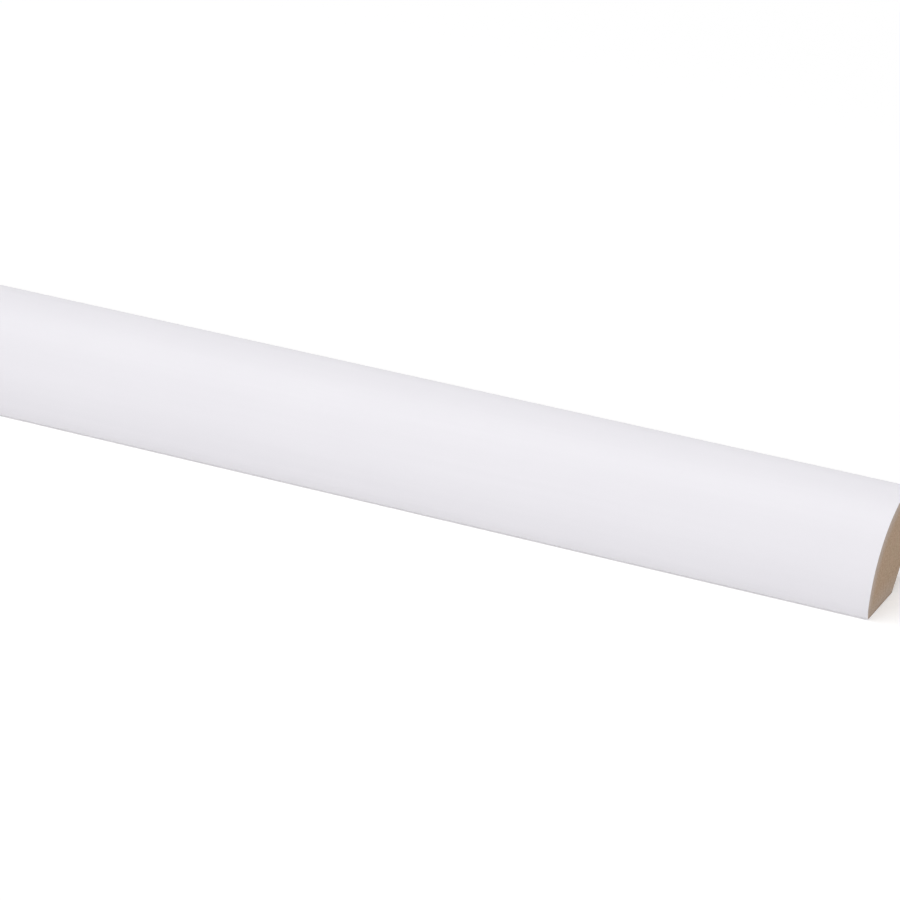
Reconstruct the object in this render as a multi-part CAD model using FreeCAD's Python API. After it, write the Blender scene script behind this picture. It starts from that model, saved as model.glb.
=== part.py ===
# Quarter round moulding: one length of fibreboard with a quarter round section, cut square at both ends.
# X runs along the length, Y from the room side to the wall side, and Z up from the floor.
# The origin lies on the plane of the floor face, at the middle of the length and of the width.

import FreeCAD
import Part
import math
import os

# Driving dimensions, in millimetres
LENGTH = 2400.0          # one stock length
WIDTH = 18.0             # from the room side of the lower toe to the wall face
HEIGHT = 18.0            # from the floor face to the top of the upper toe
TOE_DEPTH = 1.8          # square nosing left at each end of the curved face
FACE_RADIUS = 21.0       # curve of the face between the two toes
SHOULDER_RADIUS = 4.0    # sanded blend where the curve meets each toe
ARRIS_RADIUS = 0.6       # rounding of the outer edge of each toe
CORNER_CLIP = 6.8        # taken off each leg where the back corner is bevelled away
EDGE_TOLERANCE = 1e-6    # how near an edge's ends lie to the place that it is looked up by

ROOM_SIDE = -WIDTH / 2
WALL_SIDE = WIDTH / 2
LEFT_END = -LENGTH / 2


def section_point(y, z):
    """A point of the section, on the left end of the moulding."""
    return FreeCAD.Vector(LEFT_END, y, z)


# Corners of the section, in order round it from the front of the floor face
LOWER_TOE_EDGE = section_point(ROOM_SIDE, 0.0)
LOWER_TOE_TOP = section_point(ROOM_SIDE, TOE_DEPTH)
UPPER_TOE_FRONT = section_point(WALL_SIDE - TOE_DEPTH, HEIGHT)
UPPER_TOE_EDGE = section_point(WALL_SIDE, HEIGHT)
CLIP_TOP = section_point(WALL_SIDE, CORNER_CLIP)
CLIP_FOOT = section_point(WALL_SIDE - CORNER_CLIP, 0.0)


def curved_face():
    """The arc of the face, from the lower toe to the upper toe, bulging into the room."""
    chord = UPPER_TOE_FRONT - LOWER_TOE_TOP
    half_chord = chord.Length / 2
    rise = FACE_RADIUS - math.sqrt(FACE_RADIUS ** 2 - half_chord ** 2)
    outwards = FreeCAD.Vector(0.0, -chord.z, chord.y).normalize()
    crown = LOWER_TOE_TOP + chord / 2 + outwards * rise
    return Part.Arc(LOWER_TOE_TOP, crown, UPPER_TOE_FRONT)


def section():
    """The section with sharp corners, as a flat face on the left end."""
    outline = [
        Part.LineSegment(LOWER_TOE_EDGE, LOWER_TOE_TOP),
        curved_face(),
        Part.LineSegment(UPPER_TOE_FRONT, UPPER_TOE_EDGE),
        Part.LineSegment(UPPER_TOE_EDGE, CLIP_TOP),
        Part.LineSegment(CLIP_TOP, CLIP_FOOT),
        Part.LineSegment(CLIP_FOOT, LOWER_TOE_EDGE),
    ]
    return Part.Face(Part.Wire([curve.toShape() for curve in outline]))


def long_edge(solid, corner):
    """The edge of the solid that runs the whole length from one corner of the section."""
    run = FreeCAD.Vector(LENGTH, 0.0, 0.0)
    for edge in solid.Edges:
        ends = [vertex.Point for vertex in edge.Vertexes]
        starts_here = any(end.isEqual(corner, EDGE_TOLERANCE) for end in ends)
        ends_opposite = any(end.isEqual(corner + run, EDGE_TOLERANCE) for end in ends)
        if starts_here and ends_opposite:
            return edge
    raise ValueError(f"no edge runs the length of the moulding from {corner}")


def moulding():
    """The whole moulding: the section run along the length, with its toes blended and rounded."""
    stock = section().extrude(FreeCAD.Vector(LENGTH, 0.0, 0.0))
    shoulders = [long_edge(stock, corner) for corner in (LOWER_TOE_TOP, UPPER_TOE_FRONT)]
    blended = stock.makeFillet(SHOULDER_RADIUS, shoulders)
    arrises = [long_edge(blended, corner) for corner in (LOWER_TOE_EDGE, UPPER_TOE_EDGE)]
    return blended.makeFillet(ARRIS_RADIUS, arrises)


def main():
    """Writes the moulding as one solid in one node."""
    os.makedirs("parts", exist_ok=True)
    solid = moulding().Solids[0]
    solid.exportStep("parts/quarter_round.step")
    centre = solid.CenterOfMass
    print(f"quarter_round: valid {solid.isValid()}, {len(solid.Faces)} faces, {solid.Volume:.1f} mm3")
    print(f"box {solid.BoundBox}, centre of mass y {centre.y:.3f} z {centre.z:.3f}")


main()
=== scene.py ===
"""Quarter round moulding of wrapped fibreboard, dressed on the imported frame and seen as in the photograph.

Sizes are in metres. X runs along the moulding, Y from the room side to the wall side, and Z up.
"""

import itertools
import logging
import math
from collections.abc import Callable
from dataclasses import dataclass
from enum import Enum

import bmesh
import bpy
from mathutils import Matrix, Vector


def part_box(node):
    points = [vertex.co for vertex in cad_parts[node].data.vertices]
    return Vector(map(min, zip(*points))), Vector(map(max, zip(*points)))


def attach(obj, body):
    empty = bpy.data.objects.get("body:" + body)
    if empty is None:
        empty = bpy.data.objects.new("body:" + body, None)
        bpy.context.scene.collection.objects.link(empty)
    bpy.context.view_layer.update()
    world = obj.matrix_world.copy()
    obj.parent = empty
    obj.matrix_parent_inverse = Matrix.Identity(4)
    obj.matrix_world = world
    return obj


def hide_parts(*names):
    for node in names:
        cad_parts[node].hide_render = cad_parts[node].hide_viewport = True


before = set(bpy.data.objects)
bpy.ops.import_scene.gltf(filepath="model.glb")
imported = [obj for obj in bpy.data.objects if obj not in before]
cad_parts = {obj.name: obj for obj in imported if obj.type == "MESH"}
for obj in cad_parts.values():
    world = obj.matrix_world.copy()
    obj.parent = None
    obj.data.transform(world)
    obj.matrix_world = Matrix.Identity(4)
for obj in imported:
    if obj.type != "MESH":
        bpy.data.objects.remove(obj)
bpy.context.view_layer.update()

MM = 0.001
NODE = "quarter_round"
BODY = "root"
SAME_PLACE = 0.002 * MM  # two points nearer than this are one
LOOKS_WHITE = 1.0  # the strength at which a white glow looks just white

Colour = tuple[float, float, float]
Triple = tuple[float, float, float]
Span = tuple[float, float]
Spot = tuple[float, float]
Socket = bpy.types.NodeSocket

WHITE: Colour = (1.0, 1.0, 1.0)

log = logging.getLogger(NODE)


class Element(Enum):
    """The kind of mesh element that a selection picks."""

    VERTEX = "VERT"
    EDGE = "EDGE"
    FACE = "FACE"


class Surface(Enum):
    """The surfaces of the moulding, in the order of its material slots."""

    FILM = 0
    SAWN_END = 1
    BARE_BACK = 2


class Row(Enum):
    """The axis that a row of tool marks follows."""

    ALONG_THE_LENGTH = "X"
    ACROSS_THE_END = "Y"


class Grain(Enum):
    """How many finer layers a noise has over its patches."""

    SMOOTH = 1.0
    SOFT = 2.0
    CLOUDY = 3.0
    FIBROUS = 4.0


class Operation(Enum):
    """What is worked out from two numbers."""

    PRODUCT = "MULTIPLY"
    DIFFERENCE = "SUBTRACT"
    GREATER = "MAXIMUM"
    LESSER = "MINIMUM"


@dataclass(frozen=True)
class FlatSide:
    """A flat side of the section: a point on it and the direction into the moulding."""

    point: Vector
    inwards: Vector


def select(piece: bpy.types.Object, element: Element, wanted: Callable[[Vector], bool]) -> None:
    """Selects the elements of a piece in edit mode whose centres pass a test, and nothing else.

    Args:
        piece: The piece, open in edit mode.
        element: The kind of element to pick.
        wanted: The test of an element's centre.
    """
    bpy.ops.mesh.select_mode(type=element.value)
    bpy.ops.mesh.select_all(action="DESELECT")
    shape = bmesh.from_edit_mesh(piece.data)
    if element is Element.VERTEX:
        centres = [(vertex, vertex.co) for vertex in shape.verts]
    elif element is Element.EDGE:
        centres = [(edge, (edge.verts[0].co + edge.verts[1].co) / 2) for edge in shape.edges]
    else:
        centres = [(face, face.calc_center_median()) for face in shape.faces]
    for item, centre in centres:
        if wanted(centre):
            item.select_set(True)
    shape.select_flush_mode()
    bmesh.update_edit_mesh(piece.data)


def near(*places: Vector) -> Callable[[Vector], bool]:
    """Makes a test for centres that lie at one of some places.

    Args:
        places: The places to look for.

    Returns:
        The test.
    """
    return lambda centre: any((centre - place).length < SAME_PLACE for place in places)


def is_end(face: bpy.types.MeshPolygon) -> bool:
    """Tells whether a face of the moulding lies on one of its two ends."""
    return abs(face.normal.x) > face.normal.yz.length


class ShaderBench:
    """The nodes of a material or of the surround: adds them and joins them."""

    EVEN: Triple = (1.0, 1.0, 1.0)
    UNMOVED: Triple = (0.0, 0.0, 0.0)
    IN_SECTION: Triple = (0.0, 1.0, 1.0)  # leaves out how far along the length a place lies
    NOISE_MIDDLE: Span = (0.3, 0.7)  # most of a noise lies in this range
    WAVE_PITCH = 2 * math.pi / 20  # from crest to crest of a wave texture of scale 1
    MIX_FIRST, MIX_SECOND, MIX_COLOUR = 6, 7, 2  # the colour sockets of a Mix node

    def __init__(self, owner: bpy.types.Material | bpy.types.World) -> None:
        """Starts with no nodes.

        Args:
            owner: The material or the world that the nodes make up.
        """
        owner.use_nodes = True
        self.owner = owner
        self.tree = owner.node_tree
        self.tree.nodes.clear()

    def add(self, kind: str, inputs: dict[str | int, object], **settings: object) -> bpy.types.Node:
        """Adds a node.

        Args:
            kind: The node's type, without its ShaderNode prefix.
            inputs: The value of, or the socket that is linked to, each input.
            settings: The node's own properties.

        Returns:
            The node.
        """
        node = self.tree.nodes.new("ShaderNode" + kind)
        for key, value in settings.items():
            setattr(node, key, value)
        for key, value in inputs.items():
            socket = node.inputs[key]
            if isinstance(value, Socket):
                self.tree.links.new(value, socket)
            else:
                socket.default_value = (*value, 1.0) if socket.type == "RGBA" else value
        return node

    def place(self, stretch: Triple = EVEN, shift: Triple = UNMOVED) -> Socket:
        """Gives the coordinates of the piece itself.

        Args:
            stretch: The factor on each axis, which makes a pattern finer along it.
            shift: What is then added on each axis.

        Returns:
            The socket that carries the coordinates.
        """
        coordinates = self.add("TexCoord", {}).outputs["Object"]
        mapping = {"Vector": coordinates, "Scale": stretch, "Location": shift}
        return self.add("Mapping", mapping).outputs["Vector"]

    def noise(self, size: float, grain: Grain, stretch: Triple = EVEN) -> Socket:
        """Adds a noise whose patches have a real size.

        Args:
            size: The size of a patch, in metres.
            grain: How fine it is within the patches.
            stretch: How much finer it is along each axis.

        Returns:
            The socket that carries the noise, from 0 to 1.
        """
        inputs = {"Vector": self.place(stretch), "Scale": 1 / size, "Detail": grain.value}
        return self.add("TexNoise", inputs).outputs["Fac"]

    def marks(self, pitch: float, row: Row, wander: float) -> Socket:
        """Adds the even marks that a turning cutter or a saw leaves.

        Args:
            pitch: The distance between two marks, in metres.
            row: The axis that the marks follow each other along.
            wander: How far the marks stray from straight lines.

        Returns:
            The socket that carries the height of the marks, from 0 to 1.
        """
        inputs = {"Vector": self.place(), "Scale": self.WAVE_PITCH / pitch, "Distortion": wander}
        return self.add("TexWave", inputs, bands_direction=row.value).outputs["Fac"]

    def spread(self, value: Socket, low: float, high: float, span: Span = NOISE_MIDDLE) -> Socket:
        """Spreads part of a value's range over another range, and holds it there.

        Args:
            value: The value.
            low: What the lower end of the part becomes.
            high: What the upper end of the part becomes.
            span: The part of the value's range.

        Returns:
            The socket that carries the result.
        """
        inputs = {"Value": value, "From Min": span[0], "From Max": span[1], "To Min": low, "To Max": high}
        return self.add("MapRange", inputs).outputs["Result"]

    def work_out(self, operation: Operation, first: Socket | float, second: Socket | float) -> Socket:
        """Works out one number from two.

        Args:
            operation: What is worked out.
            first: The first number.
            second: The second number.

        Returns:
            The socket that carries the result.
        """
        return self.add("Math", {0: first, 1: second}, operation=operation.value).outputs[0]

    def mix(self, share: Socket, first: Socket | Colour, second: Socket | Colour) -> Socket:
        """Mixes two colours.

        Args:
            share: How much of the second colour shows.
            first: The first colour.
            second: The second colour.

        Returns:
            The socket that carries the mixed colour.
        """
        inputs = {"Factor": share, self.MIX_FIRST: first, self.MIX_SECOND: second}
        return self.add("Mix", inputs, data_type="RGBA").outputs[self.MIX_COLOUR]

    def depth(self, *sides: FlatSide) -> Socket:
        """Measures how deep each place lies under the nearest of some flat sides.

        Args:
            sides: The sides.

        Returns:
            The socket that carries the depth, in metres.
        """
        nearest: Socket | None = None
        for side in sides:
            inputs = {0: self.place(), 1: side.inwards}
            along = self.add("VectorMath", inputs, operation="DOT_PRODUCT").outputs["Value"]
            depth = self.work_out(Operation.DIFFERENCE, along, side.point.dot(side.inwards))
            nearest = depth if nearest is None else self.work_out(Operation.LESSER, nearest, depth)
        return nearest

    def relief(self, *layers: tuple[Socket, float]) -> Socket:
        """Adds a relief of one or more layers.

        Args:
            layers: The height of each layer, from 0 to 1, and its real depth in metres.

        Returns:
            The socket that carries the normal.
        """
        normal: Socket | None = None
        for height, depth in layers:
            under = {} if normal is None else {"Normal": normal}
            normal = self.add("Bump", {"Height": height, "Distance": depth, **under}).outputs["Normal"]
        return normal

    def looked_at(self) -> Socket:
        """Tells the rays that look at a surface from the rays that only carry its light.

        Returns:
            The socket that carries 1 for rays of the eye, of reflections and of transparency, or else 0.
        """
        rays = self.add("LightPath", {}).outputs
        looked_at = rays["Is Camera Ray"]
        for kind in ("Is Glossy Ray", "Is Transmission Ray"):
            looked_at = self.work_out(Operation.GREATER, looked_at, rays[kind])
        return looked_at

    def finish(self, shader: bpy.types.Node) -> bpy.types.Material | bpy.types.World:
        """Joins the shader to an output.

        Args:
            shader: The node whose first output is the shader.

        Returns:
            The material or the world.
        """
        output = "OutputWorld" if isinstance(self.owner, bpy.types.World) else "OutputMaterial"
        self.add(output, {"Surface": shader.outputs[0]})
        return self.owner


@dataclass(frozen=True, kw_only=True)
class WhiteFilm:
    """The satin white film that the face and the toes are wrapped in, a little scuffed along its foot, where
    painted contact shade also darkens it.
    """

    foot: FlatSide
    pale: Colour = (0.838, 0.826, 0.862)
    deep: Colour = (0.818, 0.806, 0.844)
    streaked: Colour = (0.808, 0.797, 0.832)
    streak_share: Span = (0.0, 0.35)
    # greyer near the floor: partly scuffing, partly painted contact shade
    scuffed_and_shaded: Colour = (0.735, 0.728, 0.725)
    scuff_and_shade_share: float = 0.45
    scuff_and_shade_width: float = 1.5 * MM
    scuff_size: float = 0.8 * MM
    scuff_patches: Span = (0.5, 1.0)
    cloud_size: float = 45 * MM
    streak_size: float = 0.9 * MM
    streak_depth: float = 0.002 * MM
    along_the_length: Triple = (0.02, 1.0, 1.0)
    peel_size: float = 1.3 * MM
    peel_depth: float = 0.003 * MM
    tooth_size: float = 0.2 * MM
    tooth_depth: float = 0.001 * MM
    roughness: Span = (0.38, 0.46)

    def material(self) -> bpy.types.Material:
        """Mixes the film's tone, its sheen and its fine relief.

        Returns:
            The film's material.
        """
        bench = ShaderBench(bpy.data.materials.new("white_film"))
        clouds = bench.noise(self.cloud_size, Grain.CLOUDY)
        streaks = bench.noise(self.streak_size, Grain.FIBROUS, self.along_the_length)
        peel = bench.noise(self.peel_size, Grain.SOFT)
        tooth = bench.noise(self.tooth_size, Grain.SOFT)
        ground = bench.mix(bench.spread(clouds, 0.0, 1.0), self.pale, self.deep)
        streaked = bench.mix(bench.spread(streaks, *self.streak_share), ground, self.streaked)
        colour = bench.mix(self.scuff_and_shade(bench), streaked, self.scuffed_and_shaded)
        return bench.finish(bench.add("BsdfPrincipled", {
            "Base Color": colour,
            "Roughness": bench.spread(peel, *self.roughness),
            "Normal": bench.relief(
                (streaks, self.streak_depth), (peel, self.peel_depth), (tooth, self.tooth_depth)),
        }))

    def scuff_and_shade(self, bench: ShaderBench) -> Socket:
        """Finds where the film is scuffed and darkened by painted contact shade, near the edge that stands
        on the floor.

        Args:
            bench: The bench of the material.

        Returns:
            The socket that carries how scuffed and shaded the film is.
        """
        # painted contact shade and scuffing, strongest at the floor and fading upwards
        share = bench.spread(bench.depth(self.foot), self.scuff_and_shade_share, 0.0, (0.0, self.scuff_and_shade_width))
        patches = bench.spread(bench.noise(self.scuff_size, Grain.CLOUDY), *self.scuff_patches)
        return bench.work_out(Operation.PRODUCT, share, patches)


@dataclass(frozen=True, kw_only=True)
class Fibreboard:
    """Pressed wood fibres with a cloudy tone and a few dark and pale flecks, as any cut shows them."""

    ruddy: Colour
    straw: Colour
    dark: Colour
    pale: Colour
    lie: Triple
    mottle_size: float
    fibre_share: Span
    fibre_size: float = 0.30 * MM
    fleck_size: float = 0.22 * MM
    fleck_share: float = 0.35
    dark_flecks: Span = (0.60, 0.72)
    pale_flecks: Span = (0.28, 0.38)

    def fibres(self, bench: ShaderBench) -> Socket:
        """Adds the noise of the fibres, which lie along the board."""
        return bench.noise(self.fibre_size, Grain.FIBROUS, self.lie)

    def colour(self, bench: ShaderBench, fibres: Socket) -> Socket:
        """Colours the fibres, the clouds and the flecks.

        Args:
            bench: The bench of the material.
            fibres: The noise of the fibres.

        Returns:
            The socket that carries the colour.
        """
        mottle = bench.noise(self.mottle_size, Grain.CLOUDY)
        flecks = bench.noise(self.fleck_size, Grain.SMOOTH, self.lie)
        ground = bench.mix(bench.spread(mottle, 0.0, 1.0), self.ruddy, self.straw)
        fibrous = bench.mix(bench.spread(fibres, *self.fibre_share), ground, self.dark)
        dark = bench.spread(flecks, 0.0, self.fleck_share, self.dark_flecks)
        pale = bench.spread(flecks, self.fleck_share, 0.0, self.pale_flecks)
        return bench.mix(pale, bench.mix(dark, fibrous, self.dark), self.pale)


@dataclass(frozen=True, kw_only=True)
class SawnFibreboard(Fibreboard):
    """The brown end, where the saw cut across the board and smeared glue and dust along its edges, with
    painted bounce light from the floor along its foot.
    """

    face_centre: Vector
    core_radius: float
    foot: FlatSide
    sides: tuple[FlatSide, ...]
    ruddy: Colour = (0.478, 0.336, 0.231)
    straw: Colour = (0.459, 0.342, 0.228)
    dark: Colour = (0.314, 0.210, 0.138)
    pale: Colour = (0.580, 0.440, 0.325)
    # paler grey: real smear along the arc, and painted bounce light from the floor along the foot
    smear_and_floor_light: Colour = (0.560, 0.522, 0.510)
    lie: Triple = (1.0, 0.5, 1.0)
    mottle_size: float = 2.2 * MM
    fibre_share: Span = (0.0, 0.6)
    fibre_depth: float = 0.05 * MM
    smear_width: float = 2.3 * MM
    smear_share: float = 0.67
    smear_and_floor_light_hold: Span = (1.0, 0.5)
    # the band along the foot is painted bounce light from the floor as well as smear
    floor_light_width: float = 4.2 * MM
    floor_light_share: float = 0.36
    edge_width: float = 0.45 * MM
    edge_share: float = 0.6
    saw_pitch: float = 1.1 * MM
    saw_wander: float = 1.5
    saw_depth: float = 0.03 * MM
    roughness: Span = (0.80, 0.95)

    def material(self) -> bpy.types.Material:
        """Mixes the fibres, the smear with the painted floor light, the dark edge and the saw marks.

        Returns:
            The sawn end's material.
        """
        bench = ShaderBench(bpy.data.materials.new("sawn_fibreboard"))
        fibres = self.fibres(bench)
        saw = bench.marks(self.saw_pitch, Row.ACROSS_THE_END, self.saw_wander)
        edge = bench.spread(bench.depth(*self.sides), self.edge_share, 0.0, (0.0, self.edge_width))
        smeared_and_floor_lit = bench.mix(self.smeared_and_floor_lit(bench, fibres), self.colour(bench, fibres), self.smear_and_floor_light)
        return bench.finish(bench.add("BsdfPrincipled", {
            "Base Color": bench.mix(edge, smeared_and_floor_lit, self.dark),
            "Roughness": bench.spread(fibres, *self.roughness),
            "Normal": bench.relief((saw, self.saw_depth), (fibres, self.fibre_depth)),
        }))

    def smeared_and_floor_lit(self, bench: ShaderBench, fibres: Socket) -> Socket:
        """Finds the grey smear along the film of the curved face, and the fainter lightening along the foot,
        which is partly smear and partly painted bounce light from the floor.

        Args:
            bench: The bench of the material.
            fibres: The noise of the fibres, which the smear lies between.

        Returns:
            The socket that carries how much of the smear and of the painted floor light shows.
        """
        centre = (0.0, -self.face_centre.y, -self.face_centre.z)
        from_centre = bench.place(bench.IN_SECTION, centre)
        reach = bench.add("VectorMath", {0: from_centre}, operation="LENGTH").outputs["Value"]
        inwards = bench.work_out(Operation.DIFFERENCE, self.core_radius, reach)
        by_face = bench.spread(inwards, self.smear_share, 0.0, (0.0, self.smear_width))
        # lighter near the floor: painted bounce light from the floor, partly smear
        floor_light = bench.spread(bench.depth(self.foot), self.floor_light_share, 0.0, (0.0, self.floor_light_width))
        share = bench.work_out(Operation.GREATER, by_face, floor_light)
        return bench.work_out(Operation.PRODUCT, share, bench.spread(fibres, *self.smear_and_floor_light_hold))


@dataclass(frozen=True, kw_only=True)
class BareFibreboard(Fibreboard):
    """The board as the moulding cutter left it, on the legs and on the bevel of the back corner."""

    ruddy: Colour = (0.545, 0.405, 0.285)
    straw: Colour = (0.470, 0.335, 0.225)
    dark: Colour = (0.360, 0.245, 0.160)
    pale: Colour = (0.620, 0.480, 0.355)
    lie: Triple = (0.25, 1.0, 1.0)
    mottle_size: float = 6.0 * MM
    fibre_share: Span = (0.0, 0.5)
    fibre_depth: float = 0.02 * MM
    cutter_pitch: float = 1.5 * MM
    cutter_wander: float = 0.4
    cutter_depth: float = 0.012 * MM
    roughness: Span = (0.65, 0.85)

    def material(self) -> bpy.types.Material:
        """Mixes the fibres and the cutter marks.

        Returns:
            The bare back's material.
        """
        bench = ShaderBench(bpy.data.materials.new("bare_fibreboard"))
        fibres = self.fibres(bench)
        cutter = bench.marks(self.cutter_pitch, Row.ALONG_THE_LENGTH, self.cutter_wander)
        return bench.finish(bench.add("BsdfPrincipled", {
            "Base Color": self.colour(bench, fibres),
            "Roughness": bench.spread(fibres, *self.roughness),
            "Normal": bench.relief((cutter, self.cutter_depth), (fibres, self.fibre_depth)),
        }))


@dataclass(frozen=True)
class TextureSheet:
    """How the moulding lies on the square sheet of its textures.

    The long faces lie side by side, unrolled from the back corner, and the ends beside them, larger.
    """

    low: Vector
    high: Vector
    name: str = "OFBake"
    margin: float = 0.01
    end_side: float = 0.3
    seam_angle: float = math.radians(-45)
    decimals: int = 6
    half_way: float = 0.5

    def lay_out(self, piece: bpy.types.Object) -> None:
        """Gives every face of the moulding its place on the sheet.

        Args:
            piece: The moulding, in object mode.
        """
        mesh = piece.data
        girth = self.girth(mesh)
        sheet = mesh.uv_layers.new(name=self.name)
        for face in mesh.polygons:
            places = [mesh.vertices[index].co for index in face.vertices]
            spots = self.end_spots(places) if is_end(face) else self.long_spots(places, girth)
            for loop, spot in zip(face.loop_indices, spots):
                sheet.uv[loop].vector = spot

    def girth(self, mesh: bpy.types.Mesh) -> dict[Spot, float]:
        """Measures how far round the section each of its corners lies.

        Args:
            mesh: The moulding's mesh.

        Returns:
            The share of the whole girth up to each corner.
        """
        middle = (self.low + self.high) / 2
        long_faces = [face for face in mesh.polygons if not is_end(face)]
        corners = {self.corner(mesh.vertices[index].co) for face in long_faces for index in face.vertices}
        around = sorted(corners, key=lambda corner: (
            math.atan2(corner[1] - middle.z, corner[0] - middle.y) - self.seam_angle) % math.tau)
        steps = [math.dist(*pair) for pair in itertools.pairwise((*around, around[0]))]
        runs = itertools.accumulate(steps, initial=0.0)
        return {corner: run / sum(steps) for corner, run in zip(around, runs)}

    def corner(self, place: Vector) -> Spot:
        """Names a corner of the section by its place across and up, to a micrometre."""
        return round(place.y, self.decimals), round(place.z, self.decimals)

    def end_spots(self, places: list[Vector]) -> list[Spot]:
        """Lays the corners of an end's face on the sheet.

        Args:
            places: The corners.

        Returns:
            Their places on the sheet.
        """
        scale = self.end_side / max(self.high.y - self.low.y, self.high.z - self.low.z)
        left = 1 - self.margin - self.end_side
        foot = self.margin
        if places[0].x > (self.low.x + self.high.x) / 2:
            foot += self.margin + self.end_side
        return [(left + (place.y - self.low.y) * scale, foot + (place.z - self.low.z) * scale)
                for place in places]

    def long_spots(self, places: list[Vector], girth: dict[Spot, float]) -> list[Spot]:
        """Lays the corners of a long face on the sheet.

        Args:
            places: The corners.
            girth: How far round the section each corner of it lies.

        Returns:
            Their places on the sheet.
        """
        shares = [girth[self.corner(place)] for place in places]
        closes_the_ring = max(shares) - min(shares) > self.half_way
        if closes_the_ring:
            shares = [share or 1.0 for share in shares]
        width = 1 - 3 * self.margin - self.end_side
        scale = (1 - 2 * self.margin) / (self.high.x - self.low.x)
        return [(self.margin + share * width, self.margin + (place.x - self.low.x) * scale)
                for share, place in zip(shares, places)]


@dataclass(frozen=True)
class QuarterRound:
    """The moulding: a fibreboard section run along the length and wrapped in white film on its room side."""

    low: Vector
    high: Vector
    toe_depth: float = 1.8 * MM
    face_radius: float = 21.0 * MM
    shoulder_radius: float = 4.0 * MM
    arris_radius: float = 0.6 * MM
    corner_clip: float = 6.8 * MM
    film: float = 0.1 * MM
    film_turn: float = 4.0 * MM
    face_steps: int = 40
    shoulder_steps: int = 4
    arris_steps: int = 8
    smooth_below: float = math.radians(30)
    round_profile: float = 0.5

    @property
    def length(self) -> float:
        """The length of the moulding."""
        return self.high.x - self.low.x

    @property
    def width(self) -> float:
        """The reach of the floor leg, from the room side to the wall."""
        return self.high.y - self.low.y

    @property
    def height(self) -> float:
        """The reach of the wall leg, from the floor to the top."""
        return self.high.z - self.low.z

    @property
    def toes(self) -> tuple[Vector, Vector]:
        """Where the curved face meets the lower toe and the upper toe."""
        return self.corner(0.0, self.toe_depth), self.corner(self.width - self.toe_depth, self.height)

    @property
    def face_centre(self) -> Vector:
        """Where the arc of the curved face has its centre.

        Returns:
            The point, on the left end.
        """
        lower, upper = self.toes
        chord = upper - lower
        inwards = Vector((0.0, chord.z, -chord.y)).normalized()
        return (lower + upper) / 2 + inwards * math.sqrt(self.face_radius ** 2 - (chord.length / 2) ** 2)

    @property
    def face_angle(self) -> float:
        """The angle through which the curved face turns."""
        lower, upper = self.toes
        return 2 * math.asin((upper - lower).length / 2 / self.face_radius)

    def corner(self, back: float, up: float) -> Vector:
        """A point of the section on the left end, so far back from the room side and up from the floor."""
        return Vector((self.low.x, self.low.y + back, self.low.z + up))

    def build(self) -> bpy.types.Object:
        """Models and dresses the moulding.

        Returns:
            The finished mesh object.
        """
        piece = self.add_blank()
        self.cut_face(piece)
        self.clip_corner()
        shoulder_turn = math.pi / 4 - self.face_angle / 2
        self.ease(piece, self.toes, self.shoulder_radius * math.tan(shoulder_turn / 2), self.shoulder_steps)
        outer_corners = (self.corner(0.0, 0.0), self.corner(self.width, self.height))
        self.ease(piece, outer_corners, self.arris_radius, self.arris_steps)
        self.dress(piece)
        self.wrap(piece)
        self.run_length(piece)
        self.bare_back(piece)
        bpy.ops.object.shade_smooth_by_angle(angle=self.smooth_below)
        TextureSheet(self.low, self.high).lay_out(piece)
        return piece

    def add_blank(self) -> bpy.types.Object:
        """Adds the rectangular blank of the section, standing on the left end.

        Returns:
            The blank, open in edit mode and selected all over.
        """
        bpy.ops.object.select_all(action="DESELECT")
        middle = self.corner(self.width / 2, self.height / 2)
        bpy.ops.mesh.primitive_plane_add(size=self.width, location=middle, rotation=(0.0, math.pi / 2, 0.0))
        bpy.ops.object.transform_apply(location=True, rotation=True, scale=True)
        piece = bpy.context.object
        piece.name = piece.data.name = "quarter_round_moulding"
        bpy.ops.object.mode_set(mode="EDIT")
        bpy.ops.mesh.select_all(action="SELECT")
        bpy.ops.transform.resize(value=(1.0, 1.0, self.height / self.width), center_override=middle)
        return piece

    def cut_face(self, piece: bpy.types.Object) -> None:
        """Cuts the blank's room corner away and swings the curved face in its place.

        Args:
            piece: The blank, open in edit mode and selected all over.
        """
        lower, upper = self.toes
        centre = self.face_centre
        outwards = ((lower + upper) / 2 - centre).normalized()
        bpy.ops.mesh.bisect(plane_co=lower, plane_no=outwards, clear_outer=True, threshold=SAME_PLACE)
        select(piece, Element.VERTEX, near(lower))
        bpy.ops.mesh.spin(steps=self.face_steps, angle=self.face_angle, center=centre, axis=(1.0, 0.0, 0.0))
        bpy.ops.mesh.select_all(action="SELECT")
        bpy.ops.mesh.remove_doubles(threshold=SAME_PLACE)
        select(piece, Element.VERTEX, self.on_face)
        bpy.ops.mesh.edge_face_add()
        select(piece, Element.EDGE, near((lower + upper) / 2))
        bpy.ops.mesh.dissolve_edges(use_verts=False)

    def on_face(self, place: Vector) -> bool:
        """Tells whether a point of the section lies on the curved face."""
        return abs((place - self.face_centre).length - self.face_radius) < SAME_PLACE

    def clip_corner(self) -> None:
        """Bevels the back corner of the section away."""
        bpy.ops.mesh.select_all(action="SELECT")
        foot = self.corner(self.width - self.corner_clip, 0.0)
        outwards = Vector((0.0, 1.0, -1.0))
        bpy.ops.mesh.bisect(plane_co=foot, plane_no=outwards, clear_outer=True, threshold=SAME_PLACE)

    def ease(self, piece: bpy.types.Object, corners: tuple[Vector, ...], setback: float, steps: int) -> None:
        """Rounds corners of the section.

        Args:
            piece: The section, open in edit mode.
            corners: The corners to round.
            setback: How far from the corner the rounding starts.
            steps: How many edges each rounding has.
        """
        select(piece, Element.VERTEX, near(*corners))
        bpy.ops.mesh.bevel(offset=setback, segments=steps, profile=self.round_profile, affect="VERTICES")

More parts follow.
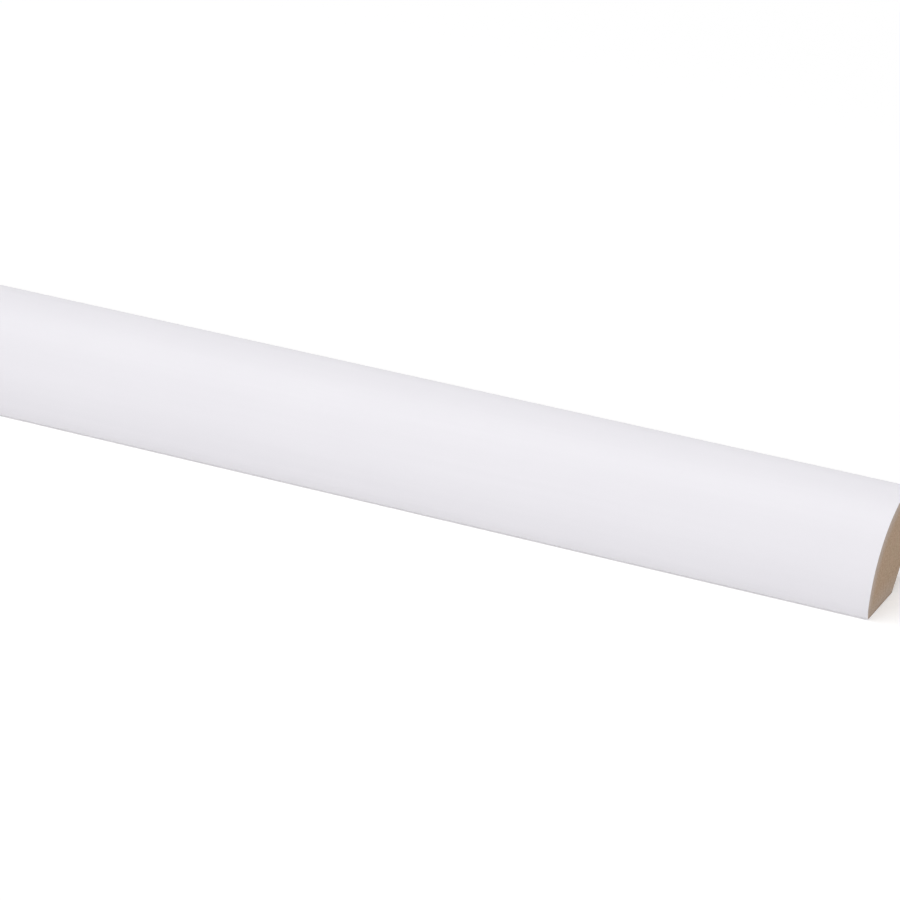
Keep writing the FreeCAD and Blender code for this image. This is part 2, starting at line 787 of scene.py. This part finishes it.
    def dress(self, piece: bpy.types.Object) -> None:
        """Gives the moulding its finishes.

        Args:
            piece: The moulding.
        """
        up, from_wall = Vector((0.0, 0.0, 1.0)), Vector((0.0, -1.0, 0.0))
        clip_foot = self.corner(self.width - self.corner_clip, 0.0)
        foot = FlatSide(self.corner(0.0, 0.0), up)
        core_sides = (
            FlatSide(self.corner(0.0, self.film), up),
            FlatSide(self.corner(self.width - self.film, 0.0), from_wall),
            FlatSide(clip_foot, (up + from_wall).normalized()),
        )
        finishes = {
            Surface.FILM: WhiteFilm(foot=foot),
            Surface.SAWN_END: SawnFibreboard(
                face_centre=self.face_centre,
                core_radius=self.face_radius - self.film,
                foot=foot,
                sides=core_sides,
            ),
            Surface.BARE_BACK: BareFibreboard(),
        }
        for surface in Surface:
            piece.data.materials.append(finishes[surface].material())

    def wrap(self, piece: bpy.types.Object) -> None:
        """Parts the film from the core, and ends it a little way along each leg.

        Args:
            piece: The section, open in edit mode.
        """
        floor_leg = self.corner((self.arris_radius + self.width - self.corner_clip) / 2, 0.0)
        wall_leg = self.corner(self.width, (self.corner_clip + self.height - self.arris_radius) / 2)
        floor_turn = self.corner(self.film_turn, 0.0)
        wall_turn = self.corner(self.width, self.height - self.film_turn)
        for leg, turn in ((floor_leg, floor_turn), (wall_leg, wall_turn)):
            select(piece, Element.EDGE, near(leg))
            bpy.ops.mesh.subdivide(number_cuts=1)
            select(piece, Element.VERTEX, near(leg))
            bpy.ops.transform.translate(value=turn - leg)
        bpy.ops.mesh.select_mode(type="FACE")
        bpy.ops.mesh.select_all(action="SELECT")
        bpy.ops.mesh.inset(thickness=self.film)
        piece.active_material_index = Surface.SAWN_END.value
        bpy.ops.object.material_slot_assign()
        select(piece, Element.FACE, self.lacks_film)
        bpy.ops.mesh.delete(type="FACE")

    def lacks_film(self, centre: Vector) -> bool:
        """Tells whether a part of the ring round the section lies where there is no film.

        Args:
            centre: The centre of the part.

        Returns:
            Whether there is no film.
        """
        back, up = centre.y - self.low.y, centre.z - self.low.z
        on_floor_leg = up < self.film and back > self.film_turn
        on_wall_leg = back > self.width - self.film and up < self.height - self.film_turn
        from_clip = (self.width - self.corner_clip - back + up) / math.sqrt(2)
        return on_floor_leg or on_wall_leg or from_clip < self.film

    def run_length(self, piece: bpy.types.Object) -> None:
        """Runs the section along the length, and puts its faces in an order that is the same each time.

        Args:
            piece: The section, open in edit mode.
        """
        bpy.ops.mesh.select_all(action="SELECT")
        bpy.ops.mesh.extrude_region_move(TRANSFORM_OT_translate={"value": (self.length, 0.0, 0.0)})
        bpy.ops.mesh.select_all(action="SELECT")
        bpy.ops.mesh.normals_make_consistent(inside=False)
        out_in_the_room = self.corner(-self.length, self.length / 2)
        bpy.context.scene.cursor.location = out_in_the_room
        bpy.ops.mesh.sort_elements(type="CURSOR_DISTANCE", elements={"FACE"})
        bpy.ops.object.mode_set(mode="OBJECT")

    def bare_back(self, piece: bpy.types.Object) -> None:
        """Gives the core's long faces the finish of the bare back.

        Args:
            piece: The moulding, in object mode.
        """
        for face in piece.data.polygons:
            if face.material_index == Surface.SAWN_END.value and not is_end(face):
                face.material_index = Surface.BARE_BACK.value


@dataclass(frozen=True)
class PhotoCamera:
    """The photograph's viewpoint, held by where the near end's lower front corner shows in it."""

    azimuth: float = math.radians(27.0)
    elevation: float = math.radians(26.6)
    image_side_px: float = 900.0
    focal_px: float = 4424.0
    corner_px: Spot = (867.4, 620.7)
    corner_distance: float = 760.5 * MM
    sensor_mm: float = 36.0

    def place(self, corner: Vector) -> bpy.types.Object:
        """Adds the camera and makes it the scene's own.

        Args:
            corner: The lower front corner of the moulding's near end.

        Returns:
            The camera.
        """
        level = math.cos(self.elevation)
        back = Vector((
            math.sin(self.azimuth) * level, -math.cos(self.azimuth) * level, math.sin(self.elevation)))
        right = Vector((math.cos(self.azimuth), math.sin(self.azimuth), 0.0))
        up = back.cross(right)
        across, down = ((px - self.image_side_px / 2) / self.focal_px for px in self.corner_px)
        eye = corner + self.corner_distance * (back - across * right + down * up)
        bpy.ops.object.camera_add(location=eye, rotation=(-back).to_track_quat("-Z", "Y").to_euler())
        camera = bpy.context.object
        camera.name = "photo_camera"
        camera.data.sensor_width = self.sensor_mm
        camera.data.lens = self.focal_px / self.image_side_px * self.sensor_mm
        bpy.context.scene.camera = camera
        return camera


@dataclass(frozen=True)
class Softbox:
    """A long softbox that hangs over the room side of the moulding and faces its axis."""

    name: str
    height_angle: float
    power: float
    colour: Colour
    distance: float = 1.6
    length: float = 8.0
    breadth: float = 0.8

    def hang(self) -> bpy.types.Object:
        """Adds the softbox.

        Returns:
            The lamp.
        """
        place = self.distance * Vector((0.0, -math.cos(self.height_angle), math.sin(self.height_angle)))
        facing = (-place).to_track_quat("-Z", "Y").to_euler()
        bpy.ops.object.light_add(type="AREA", location=place, rotation=facing)
        lamp = bpy.context.object
        lamp.name = self.name
        lamp.data.shape = "RECTANGLE"
        lamp.data.size = self.length
        lamp.data.size_y = self.breadth
        lamp.data.energy = self.power
        lamp.data.color = self.colour
        lamp.visible_camera = False
        return lamp


@dataclass(frozen=True)
class PaleFloor:
    """A pale floor that looks white: with its shadows near the moulding, and plain white far from it."""

    colour: Colour = (0.93, 0.93, 0.93)
    lift: float = 0.18
    lit_reach: Triple = (2.4, 0.3, 1.0)
    fade: Span = (0.0, 0.4)

    def material(self) -> bpy.types.Material:
        """Mixes the lit floor near the moulding with the plain white far from it.

        Returns:
            The floor's material.
        """
        bench = ShaderBench(bpy.data.materials.new("pale_floor"))
        looked_at = bench.looked_at()
        lit = bench.add("BsdfDiffuse", {"Color": self.colour})
        lift = bench.add("Emission", {"Strength": bench.work_out(Operation.PRODUCT, looked_at, self.lift)})
        raised = bench.add("AddShader", {0: lit.outputs[0], 1: lift.outputs[0]})
        white = bench.add("Emission", {"Strength": LOOKS_WHITE})
        reach = bench.place(tuple(1 / side for side in self.lit_reach))
        inside = bench.add("TexGradient", {"Vector": reach}, gradient_type="SPHERICAL").outputs["Fac"]
        far = bench.work_out(Operation.PRODUCT, looked_at, bench.spread(inside, 1.0, 0.0, self.fade))
        return bench.finish(bench.add("MixShader", {0: far, 1: raised.outputs[0], 2: white.outputs[0]}))


@dataclass(frozen=True)
class Studio:
    """The pale floor, the softboxes and the white surround."""

    floor_z: float
    floor_side: float = 60.0
    surround_light: float = 0.376
    softboxes: tuple[Softbox, ...] = (
        Softbox(name="overhead_softbox", height_angle=math.radians(85), power=36.3, colour=WHITE),
        Softbox(name="front_softbox", height_angle=math.radians(35), power=19.6, colour=(1.0, 0.98, 1.0)),
    )

    def build(self) -> None:
        """Adds the floor, the softboxes and the surround."""
        self.lay_floor()
        for softbox in self.softboxes:
            softbox.hang()
        self.surround()
        bpy.context.scene.view_settings.view_transform = "Standard"

    def lay_floor(self) -> bpy.types.Object:
        """Lays the floor.

        Returns:
            The floor.
        """
        bpy.ops.mesh.primitive_plane_add(size=self.floor_side, location=(0.0, 0.0, self.floor_z))
        floor = bpy.context.object
        floor.name = "studio_floor"
        floor.data.materials.append(PaleFloor().material())
        return floor

    def surround(self) -> None:
        """Makes the surround white to the eye and in reflections, and a plain soft light to the rest."""
        bench = ShaderBench(bpy.data.worlds.new("white_surround"))
        bpy.context.scene.world = bench.owner
        soft = bench.add("Background", {"Color": WHITE, "Strength": self.surround_light})
        white = bench.add("Background", {"Color": WHITE, "Strength": LOOKS_WHITE})
        inputs = {0: bench.looked_at(), 1: soft.outputs[0], 2: white.outputs[0]}
        bench.finish(bench.add("MixShader", inputs))


def main() -> None:
    """Builds the moulding, the camera and the studio in order."""
    logging.basicConfig(level=logging.INFO, format="%(name)s: %(message)s")
    low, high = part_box(NODE)
    moulding = QuarterRound(low, high).build()
    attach(moulding, BODY)
    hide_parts(NODE)
    log.info("%s: %d faces", moulding.name, len(moulding.data.polygons))
    camera = PhotoCamera().place(Vector((high.x, low.y, low.z)))
    log.info("%s: %.1f mm lens", camera.name, camera.data.lens)
    Studio(low.z).build()


if __name__ == "__main__":
    main()
